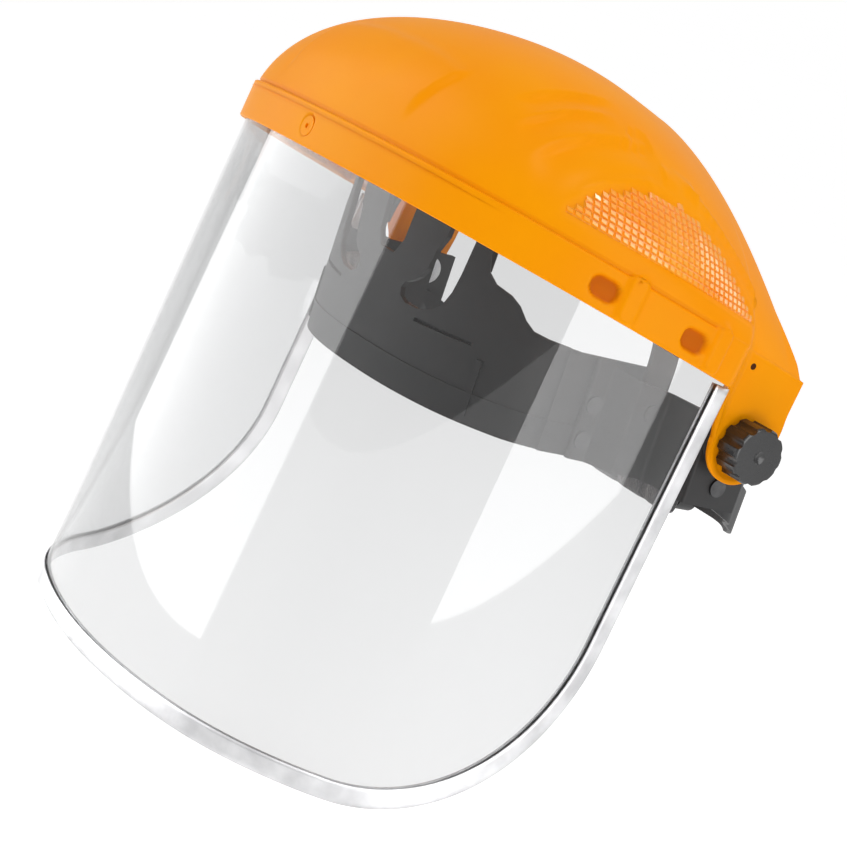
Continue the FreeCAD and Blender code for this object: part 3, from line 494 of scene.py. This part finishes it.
def bandDetail(length, height):
    out = 0.0
    for middle in windows["middles"]:
        away = roundedBox(length - middle, height - windows["height"], windows["halfLength"],
                          windows["halfHeight"], windows["corner"])
        out -= windows["depth"] * smooth(-away, -0.3, 0.5)
        tongue = middle + windows["halfLength"] + windows["tongueGap"] + windows["tongueHalf"]
        away = roundedBox(length - tongue, height - windows["tongueHeight"], windows["tongueHalf"],
                          windows["tongueTall"], windows["tongueCorner"])
        out += windows["tongueRise"] * smooth(-away, -0.2, 1.6)
    groove = bump(height, crown["rimTop"] + 0.15, 0.75, 0.5) * (1 - smooth(length, 178, 190))
    out -= crown["grooveDepth"] * groove * (1 - smooth(out, 0.1, 0.8))
    stud = hypot(length, height - 7.5)
    out -= 0.9 * smooth(4.15 - stud, -0.15, 0.2)
    out -= 0.45 * smooth(0.45 - height, 0.0, 0.45)
    return out


# painted shade mask: 1 at the bottom of a window recess, where the darker painted shade is full, 0 outside
def windowPaintedShade(length, height):
    shade = 0.0
    for middle in windows["middles"]:
        away = roundedBox(length - middle, height - windows["height"], windows["halfLength"],
                          windows["halfHeight"], windows["corner"])
        shade = max(shade, smooth(-away, -0.2, 0.7))
    return shade


steps = dict(
    # each step: half-width where the dome drops, start, end, and how soft it starts and ends
    lines=((65.0, 27.0, 68.0), (76.0, 24.0, 62.0), (88.5, 27.0, 76.0)),
    drop=1.6, width=1.4, recover=12.0,
    frontHalf=44.0, frontBack=21.0, frontRise=1.7,
    notchX=(80.0, 90.5), notchY=(65.0, 74.0), notchDepth=0.9,
    tabX=(95.5, 102.5), tabY=(74.0, 90.0), tabRise=0.7,
)
vent = dict(
    # outline in distance back and height above the rim's edge
    top=((38.0, 24.0), (41.0, 28.0), (45.0, 32.5), (51.0, 37.2), (58.0, 41.0), (65.0, 43.8), (72.0, 45.2),
         (80.0, 45.6), (86.0, 44.8), (92.0, 42.2), (99.0, 38.2), (106.0, 33.6), (112.5, 28.6), (118.0, 23.6)),
    low=23.4, recess=0.8, pitchBack=2.5, pitchUp=2.05, rise=0.75,
    ribAway=6.0, ribHalf=2.1, ribRise=1.3,
)


def ventDistance(back, height):
    top = curveValue(vent["top"], back) if vent["top"][0][0] < back < vent["top"][-1][0] else -1e3
    ahead = curveValue(vent["top"], min(back + 1, 118.0))
    lean = hypot(1.0, ahead - top) if top > -1e2 else 1.0
    return min((top - height) / min(lean, 2.0), height - vent["low"])


def domeDetail(x, y, height):
    side = abs(x)
    out = 0.0
    for line, start, end in steps["lines"]:
        window = smooth(y, start, start + 9) * (1 - smooth(y, end - 10, end))
        fall = smooth(side, line - steps["width"] / 2, line + steps["width"] / 2)
        back = 1 - smooth(side, line + steps["width"], line + steps["recover"])
        out -= steps["drop"] * window * fall * back
    # raised panel over the brow
    sideEdge = smooth(steps["frontHalf"] - side, -0.8, 1.6)
    topEdge = smooth(steps["frontBack"] - y + side * 0.03, -1.0, 5.5)
    out += steps["frontRise"] * sideEdge * topEdge * smooth(height, 22, 36)
    notch = roundedBox(side - sum(steps["notchX"]) / 2, y - sum(steps["notchY"]) / 2, 4.6, 4.2, 1.2)
    out -= steps["notchDepth"] * smooth(-notch, -0.6, 0.8)
    tab = roundedBox(side - sum(steps["tabX"]) / 2, y - sum(steps["tabY"]) / 2, 3.6, 8.0, 1.2)
    out += steps["tabRise"] * smooth(-tab, -0.6, 0.8)
    # border of the vent panel, and the rib behind it
    inside = ventDistance(y, height)
    out -= vent["recess"] * smooth(inside, -1.0, 0.6)
    if side > 60:
        border = bump(-inside, 1.8, 1.7, 1.2) * smooth(y, 36, 44) * (1 - smooth(y, 66, 74))
        out += 0.7 * border * smooth(height, 26, 32)
        away = -inside - vent["ribAway"]
        rib = bump(away, 0.0, vent["ribHalf"], 1.6) * smooth(y, 82, 88) * (1 - smooth(y, 122, 128))
        out += vent["ribRise"] * rib * smooth(height, 24, 30)
    return out


def earDetail(y, z):
    away = hypot(y - hang["pivotBack"], z + hang["pivotDrop"])
    lip = smooth(away, crown["earRadius"] - 2.4, crown["earRadius"] - 1.9) * smooth(-z, 12, 20)
    return 0.9 * lip if y > crown["earFront"] + 1 else 0.0


def makeCrown():
    columns = crownColumns()
    heights = [0.0, 0.4] + [0.4 + (14.6 - 0.4) * i / 23 for i in range(1, 24)] + [15.0, 15.3]
    domeLevels = [3.1, 3.6, 4.4, 5.6, 7.2]
    domeRows = 54
    skirt = len(heights)
    for column in columns:
        column["shares"] = [shareAtHeight(column, level) for level in domeLevels]
        column["start"] = acos(min(1.0, column["shares"][-1]))

    def place(i, j):
        column = columns[i]
        if j < skirt:
            back = column["y"]
            low = lowerEdge(back)
            top = heights[-1] - back * tan(slope)
            power = 1 + 0.5 * smooth(back, crown["earFront"], crown["earFront"] + 8)
            z = mix(low, top, (heights[j] / heights[-1]) ** power)
            return column["x"], back, z
        row = j - skirt
        if row < len(domeLevels):
            share = column["shares"][row]
        else:
            step = (row - len(domeLevels) + 1) / domeRows
            share = max(0.0, cos(mix(column["start"], pi / 2, step)))
        point = tipped(*domePlace(column, share))
        point.y = min(point.y, crown["earBack"])
        return point

    bm = gridMesh(len(columns), skirt + len(domeLevels) + domeRows, place)
    bmesh.ops.remove_doubles(bm, verts=bm.verts, dist=0.02)
    everything = bm.verts[:] + bm.edges[:] + bm.faces[:]
    bmesh.ops.mirror(bm, geom=everything, axis="X", merge_dist=0.02)
    bmesh.ops.recalc_face_normals(bm, faces=bm.faces)
    bm.normal_update()
    top = max(bm.faces, key=lambda face: face.calc_center_median().z)
    if top.normal.z < 0:
        bmesh.ops.reverse_faces(bm, faces=bm.faces)
    bm.normal_update()
    moves = []
    for vert in bm.verts:
        x, y, z = vert.co
        height = z + y * tan(slope)
        out = 0.0
        if height < 22 and y < crown["earFront"] + 2:
            out += bandDetail(planLength(x, y), height)
        if height > 16:
            out += domeDetail(x, y, height)
        out += earDetail(y, z)
        moves.append(vert.normal * out)
    for vert, move in zip(bm.verts, moves):
        vert.co += move
    # painted shade: per-point mask of the window recesses, stored in the "recess" attribute that darkens the crown
    # colour
    paintedShades = []
    for vert in bm.verts:
        x, y, z = vert.co
        height = z + y * tan(slope)
        low = height < 14 and y < crown["earFront"]
        paintedShades.append(windowPaintedShade(planLength(x, y), height) if low else 0.0)
    piece = finishPiece(bm, "crownShell", "crown", crownPlastic, hung=True)
    piece.data.attributes.new("recess", "FLOAT", "POINT").data.foreach_set("value", paintedShades)
    solidify(piece, crown["wall"] - 0.1, -1.0)
    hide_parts("crown_shell")
    return piece


# a point of the dome's left side by distance back and height above the rim's edge
def crownSurface(back, height):
    z = height - back * tan(slope)
    y0 = back * cos(slope) - z * sin(slope)
    z0 = back * sin(slope) + z * cos(slope) - crown["domeBase"]
    low, high = 0.0, halfWidth(y0)
    for _ in range(30):
        middle = (low + high) / 2
        if domeHeightAt(middle, y0) > z0:
            low = middle
        else:
            high = middle
    return Vector((high, back, z))


def makeVentPanel(side):
    name = "ventPanelLeft" if side > 0 else "ventPanelRight"
    columns = round((118.0 - 38.0) / vent["pitchBack"]) + 1
    rows = round((46.0 - vent["low"]) / vent["pitchUp"]) + 1

    def place(i, j):
        return crownSurface(38.0 + i * vent["pitchBack"], vent["low"] + j * vent["pitchUp"])

    bm = gridMesh(columns, rows, place)
    outside = []
    for face in bm.faces:
        centre = face.calc_center_median()
        if ventDistance(centre.y, centre.z + centre.y * tan(slope)) < 0.6:
            outside.append(face)
    bmesh.ops.delete(bm, geom=outside, context="FACES")
    bmesh.ops.recalc_face_normals(bm, faces=bm.faces)
    bm.normal_update()
    if sum((face.normal.x for face in bm.faces), 0.0) < 0:
        bmesh.ops.reverse_faces(bm, faces=bm.faces)
    bm.normal_update()
    for vert in bm.verts:
        vert.co -= vert.normal * 0.55
    cells = bm.faces[:]
    bmesh.ops.inset_individual(bm, faces=cells, thickness=0.22, depth=0.1)
    bmesh.ops.inset_individual(bm, faces=cells, thickness=0.5, depth=vent["rise"] - 0.1)
    if side < 0:
        bmesh.ops.scale(bm, vec=(-1, 1, 1), verts=bm.verts)
        bmesh.ops.reverse_faces(bm, faces=bm.faces)
    piece = finishPiece(bm, name, "crown", ventPlastic, hung=True)
    sharpen(piece, 25)
    return piece


makeCrown()
for side in (1, -1):
    makeVentPanel(side)
print("crown made")


visor = dict(
    drop=201.0, tuck=11.0, thickness=1.0, corner=74.0, bow=15.0,
    trimWidth=6.5, trimWall=0.5, trimGap=0.45, trimTopGap=0.6,
)


def sheetBottom(length):
    size = min(abs(length), plan["halfLength"])
    straight = plan["halfLength"] - visor["corner"]
    low = -(visor["drop"] - visor["bow"]) - visor["bow"] * (1 - (size / plan["halfLength"]) ** 2)
    if size <= straight:
        return low
    share = (size - straight) / visor["corner"]
    return low + visor["corner"] * (1 - max(0.0, 1 - share * share) ** 0.5)


def makeVisor():
    straight = plan["halfLength"] - visor["corner"]
    side = spread([(0, straight, 3.0)])
    side += [straight + visor["corner"] * sin(pi / 2 * i / 30) for i in range(1, 31)]
    lengths = [-value for value in reversed(side[1:])] + side
    rows = 60

    def place(i, j):
        length = lengths[i]
        x, y = planPoint(length)
        top = visor["tuck"] - y * tan(slope)
        return x, y, mix(sheetBottom(length), top, j / (rows - 1))

    bm = gridMesh(len(lengths), rows, place)
    bmesh.ops.recalc_face_normals(bm, faces=bm.faces)
    piece = finishPiece(bm, "visorSheet", "crown", clearSheet, hung=True)
    solidify(piece, visor["thickness"], 0.0)
    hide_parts("visor_sheet")
    return piece


def trimPath():
    straight = plan["halfLength"] - visor["corner"]
    half = []
    top = -visor["trimTopGap"] - planPoint(plan["halfLength"])[1] * tan(slope)
    bend = sheetBottom(plan["halfLength"])
    for i in range(36):
        half.append((plan["halfLength"], mix(top, bend, i / 36)))
    for i in range(48):
        length = straight + visor["corner"] * cos(pi / 2 * i / 48)
        half.append((length, sheetBottom(length)))
    for i in range(61):
        length = straight * (1 - i / 60)
        half.append((length, sheetBottom(length)))
    path = half + [(-length, z) for length, z in reversed(half[:-1])]
    places = []
    for i, (length, z) in enumerate(path):
        before, after = path[max(i - 1, 0)], path[min(i + 1, len(path) - 1)]
        way = Vector((after[0] - before[0], after[1] - before[1])).normalized()
        places.append((length, z, way.y, -way.x))
    return places


def makeTrim():
    path = trimPath()
    half = visor["thickness"] / 2 + visor["trimGap"]
    section = [(visor["trimWidth"] * (1 - i / 5), half) for i in range(5)]
    section += [(0.9 - 0.9 * sin(pi * i / 8) - 0.55, half * cos(pi * i / 8)) for i in range(9)]
    section += [(visor["trimWidth"] * (i + 1) / 5, -half) for i in range(5)]

    def place(i, j):
        length, z, inLength, inZ = path[i]
        inset, offset = section[j]
        x, y = planPoint(length + inLength * inset, offset)
        return x, y, z + inZ * inset

    bm = gridMesh(len(path), len(section), place)
    bmesh.ops.recalc_face_normals(bm, faces=bm.faces)
    piece = finishPiece(bm, "visorEdgeTrim", "crown", trimMetal, hung=True)
    solidify(piece, visor["trimWall"] - 0.1, -1.0)
    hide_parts("visor_edge_trim")
    return piece


makeVisor()
makeTrim()
print("visor made")


band = dict(halfWidth=78.5, front=48.0, wideY=-17.0, power=2.3, wall=2.2)
sweatPad = dict(low=1.0, height=30.0, thickness=5.5, gap=0.3, crowned=1.0, channelPitch=24.0,
                channelHalf=1.7, channelDepth=0.34, endRound=7.0, rows=32)
napePad = dict(half=39.0, low=-26.5, height=30.0, front=75.6, back=81.0, crowned=1.2, channelPitch=19.5,
               channelHalf=1.8, channelDepth=0.36, endRound=8.0, rows=32)


def bandPoint(share, inset):
    angle = share * pi / 2
    power = 2 / band["power"]
    x = (band["halfWidth"] - inset) * abs(sin(angle)) ** power
    y = band["wideY"] - (band["front"] - inset) * abs(cos(angle)) ** power
    return Vector((x if share >= 0 else -x, y))


def evenPath(points, step):
    total = [0.0]
    for a, b in zip(points, points[1:]):
        total.append(total[-1] + (b - a).length)
    count = round(total[-1] / step)
    places, k = [], 0
    for i in range(count + 1):
        target = total[-1] * i / count
        while k < len(points) - 2 and total[k + 1] < target:
            k += 1
        share = (target - total[k]) / (total[k + 1] - total[k])
        places.append(points[k].lerp(points[k + 1], share))
    return places, total[-1]


def power(value, exponent):
    return abs(value) ** exponent * (1 if value >= 0 else -1)


# a stuffed strip along a plan path: flat at the back, crowned in front, pulled in at its sewn channels
def makePad(name, points, inward, look, thickness, nodeName):
    path, length = evenPath(points, 1.2)
    rows = look["rows"]
    middle = look["low"] + look["height"] / 2

    def place(i, j):
        at = length * i / (len(path) - 1)
        way = (path[min(i + 1, len(path) - 1)] - path[max(i - 1, 0)]).normalized()
        side = Vector((-way.y, way.x)) * inward
        end = min(at, length - at)
        taper = (1 - (1 - min(1.0, end / look["endRound"])) ** 2) ** 0.5
        pitch = length / max(1, round(length / look["channelPitch"]))
        off = abs((at + pitch / 2) % pitch - pitch / 2)
        seam = (1 - smooth(off, 0.0, look["channelHalf"] * 2.2)) if end > look["endRound"] else 0.0
        angle = 2 * pi * j / (rows - 1)
        across, up = power(cos(angle), 0.75), power(sin(angle), 0.62)
        half = thickness / 2
        swell = half * (1 - look["channelDepth"] * seam) + look["crowned"] * (1 - seam) * (1 - up * up)
        depth = half * 0.96 if across < 0 else swell
        tall = look["height"] / 2 * (0.80 + 0.20 * taper) * (1 - 0.02 * seam)
        centre = path[i] + side * half
        point = centre + side * across * depth * (0.25 + 0.75 * taper)
        return point.x, point.y, middle + up * tall

    bm = gridMesh(len(path), rows, place)
    bmesh.ops.remove_doubles(bm, verts=bm.verts, dist=0.01)
    bmesh.ops.holes_fill(bm, edges=[edge for edge in bm.edges if edge.is_boundary], sides=0)
    bmesh.ops.recalc_face_normals(bm, faces=bm.faces)
    piece = finishPiece(bm, name, "headgear", terry)
    soft = piece.modifiers.new("soft", "SUBSURF")
    soft.levels = soft.render_levels = 1
    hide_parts(nodeName)
    return piece


inset = band["wall"] + sweatPad["gap"]
shares = [i / 60 for i in range(-58, 59)]
makePad("foreheadPad", [bandPoint(share, inset) for share in shares], 1, sweatPad,
        sweatPad["thickness"], "sweatband")
napeShares = [i / 30 for i in range(-30, 31)]
napeLine = [
    Vector((napePad["half"] * share, napePad["back"] + 0.3 * (1 - share ** 2)))
    for share in napeShares
]
makePad("napeCushion", napeLine, -1, napePad, 5.0, "nape_pad")
print("pads made")


napeStrap = dict(
    rootX=0.109, rootY=0.038,     # metres: the reach of the root, which is fixed to the headgear
    runX=0.056, runY=0.086,       # metres: the start of the strap's run, which slides in the ratchet
    longest=4.0,                  # edge length, in millimetres, before it is divided
)


# root and strap joined as one strip
def makeNapeStrap(side):
    sideName = "left" if side > 0 else "right"
    nodes = [sideName + "_strap_root", sideName + "_nape_strap"]
    bm = bmesh.new()
    for node in nodes:
        bm.from_mesh(frame["nodes"][node].data)
    bmesh.ops.remove_doubles(bm, verts=bm.verts, dist=0.00002)
    for _ in range(3):
        wide = [edge for edge in bm.edges if edge.calc_length() > napeStrap["longest"] * mm]
        bmesh.ops.subdivide_edges(bm, edges=wide, cuts=1)
        bmesh.ops.triangulate(bm, faces=bm.faces)
    mesh = bpy.data.meshes.new(sideName + "NapeStrip")
    bm.to_mesh(mesh)
    bm.free()
    piece = bpy.data.objects.new(sideName + "NapeStrip", mesh)
    bpy.context.scene.collection.objects.link(piece)
    mesh.materials.append(headgearPlastic)
    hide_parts(*nodes)
    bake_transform(piece)


for side in (1, -1):
    makeNapeStrap(side)
print("nape straps made")


# painted shade: a thin dark disc on each ear stands in for the shaded inside of the ear's small hole; no hole is
# cut
def makeEarHoleShade(side):
    bm = bmesh.new()
    bmesh.ops.create_cone(bm, cap_ends=True, segments=28, radius1=1.35, radius2=1.2, depth=0.5)
    bmesh.ops.rotate(bm, verts=bm.verts, cent=(0, 0, 0), matrix=Matrix.Rotation(pi / 2, 3, "Y"))
    bmesh.ops.translate(bm, verts=bm.verts, vec=(side * (crown["earHalfSpan"] - 0.2), 131.7, -1.7))
    name = "earHoleShadeLeft" if side > 0 else "earHoleShadeRight"
    piece = finishPiece(bm, name, "crown", holeShade, hung=True, outward=True)
    sharpen(piece, 30)


for side in (1, -1):
    makeEarHoleShade(side)
print("ear holes made")


finishes = {
    "crown_plastic": crownPlastic, "visor_clear": clearSheet, "edge_aluminium": trimMetal,
    "headgear_plastic": headgearPlastic, "knob_plastic": knobPlastic, "gear_plastic": acetal,
    "pad_fabric": terry, "washer_rubber": rubber, "hardware_steel": steel, "insert_brass": brass,
}
darkHeads = ("bracket_rivets", "strap_rivets", "housing_screws", "knob_screw")
for subpart in frame["record"]["subparts"]:
    node = frame["nodes"][subpart["node"]]
    finish = rivetMetal if subpart["node"] in darkHeads else finishes[subpart["material_slot"]]
    for place in node.material_slots:
        place.material = finish
print("finishes given")


view = dict(
    eye=(0.7071, -0.5183, 0.1552), lens=96.38,
    right=(0.4914, 0.8123, 0.3142), up=(-0.3359, -0.1562, 0.9289), back=(0.8036, -0.5620, 0.1961),
)


def addCamera():
    data = bpy.data.cameras.new("camera")
    data.lens = view["lens"]
    data.sensor_width = 36.0
    camera = bpy.data.objects.new("camera", data)
    bpy.context.scene.collection.objects.link(camera)
    turned = Matrix((view["right"], view["up"], view["back"])).transposed()
    camera.matrix_world = Matrix.Translation(view["eye"]) @ turned.to_4x4()
    bpy.context.scene.camera = camera


def addLamp(name, place, target, size, power, colour=(1, 1, 1)):
    data = bpy.data.lights.new(name, "AREA")
    data.shape = "RECTANGLE"
    data.size, data.size_y = size
    data.energy = power
    data.color = colour
    lamp = bpy.data.objects.new(name, data)
    bpy.context.scene.collection.objects.link(lamp)
    aim = (Vector(target) - Vector(place)).to_track_quat("-Z", "Y")
    lamp.matrix_world = Matrix.Translation(place) @ aim.to_matrix().to_4x4()


def addFloor():
    bm = bmesh.new()
    bmesh.ops.create_grid(bm, x_segments=1, y_segments=1, size=120.0)
    bmesh.ops.translate(bm, vec=(0, 0, cadBox[0][2] - 0.15), verts=bm.verts)
    mesh = bpy.data.meshes.new("floor")
    bm.to_mesh(mesh)
    bm.free()
    floor = bpy.data.objects.new("floor", mesh)
    bpy.context.scene.collection.objects.link(floor)
    material, _, _, shader = startMaterial("paleFloor")
    shader.inputs["Base Color"].default_value = (0.85, 0.85, 0.85, 1)
    shader.inputs["Emission Color"].default_value = (1, 1, 1, 1)
    shader.inputs["Emission Strength"].default_value = 0.57
    shader.inputs["Roughness"].default_value = 0.9
    mesh.materials.append(material)


# a tall white card that only shows in glossy surfaces; turn is in degrees from the front towards the left
def addCard(name, turn, width, strength):
    bm = bmesh.new()
    bmesh.ops.create_grid(bm, x_segments=1, y_segments=1, size=0.5)
    bmesh.ops.scale(bm, verts=bm.verts, vec=(width, 6.0, 1))
    bmesh.ops.rotate(bm, verts=bm.verts, cent=(0, 0, 0), matrix=Matrix.Rotation(pi / 2, 3, "X"))
    bmesh.ops.translate(bm, verts=bm.verts, vec=(0, -1.5, -0.6))
    bmesh.ops.rotate(bm, verts=bm.verts, cent=(0, 0, 0), matrix=Matrix.Rotation(radians(turn), 3, "Z"))
    mesh = bpy.data.meshes.new(name)
    bm.to_mesh(mesh)
    bm.free()
    card = bpy.data.objects.new(name, mesh)
    bpy.context.scene.collection.objects.link(card)
    material, _, _, shader = startMaterial(name + "Glow")
    shader.inputs["Base Color"].default_value = (0, 0, 0, 1)
    shader.inputs["Emission Color"].default_value = (1, 1, 1, 1)
    shader.inputs["Emission Strength"].default_value = strength
    mesh.materials.append(material)
    card.visible_camera = card.visible_diffuse = card.visible_shadow = card.visible_transmission = False


def addWorld():
    world = bpy.data.worlds.new("studio")
    world.use_nodes = True
    tree = world.node_tree
    backdrop = tree.nodes["Background"]
    backdrop.inputs["Color"].default_value = (1, 1, 1, 1)
    path = tree.nodes.new("ShaderNodeLightPath")
    level = tree.nodes.new("ShaderNodeMapRange")     # white behind the object, softer as light on it
    level.inputs["To Min"].default_value = 0.5
    level.inputs["To Max"].default_value = 1.0
    tree.links.new(path.outputs["Is Camera Ray"], level.inputs["Value"])
    tree.links.new(level.outputs["Result"], backdrop.inputs["Strength"])
    bpy.context.scene.world = world
    bpy.context.scene.view_settings.view_transform = "Standard"


addCamera()
addFloor()
addWorld()
addLamp("key", (0.5, -0.2, 1.4), (0, 0, 0), (0.45, 0.45), 7.5)
addLamp("fill", (-1.2, -0.8, 0.6), (0, 0, 0), (0.8, 1.4), 1.5)
addLamp("rim", (0.4, 1.4, 1.0), (0, 0, 0), (0.7, 0.5), 2.5)
addCard("frontCard", -46, 1.6, 3.6)
addCard("sideCard", 92, 1.4, 3.6)
print("studio set")
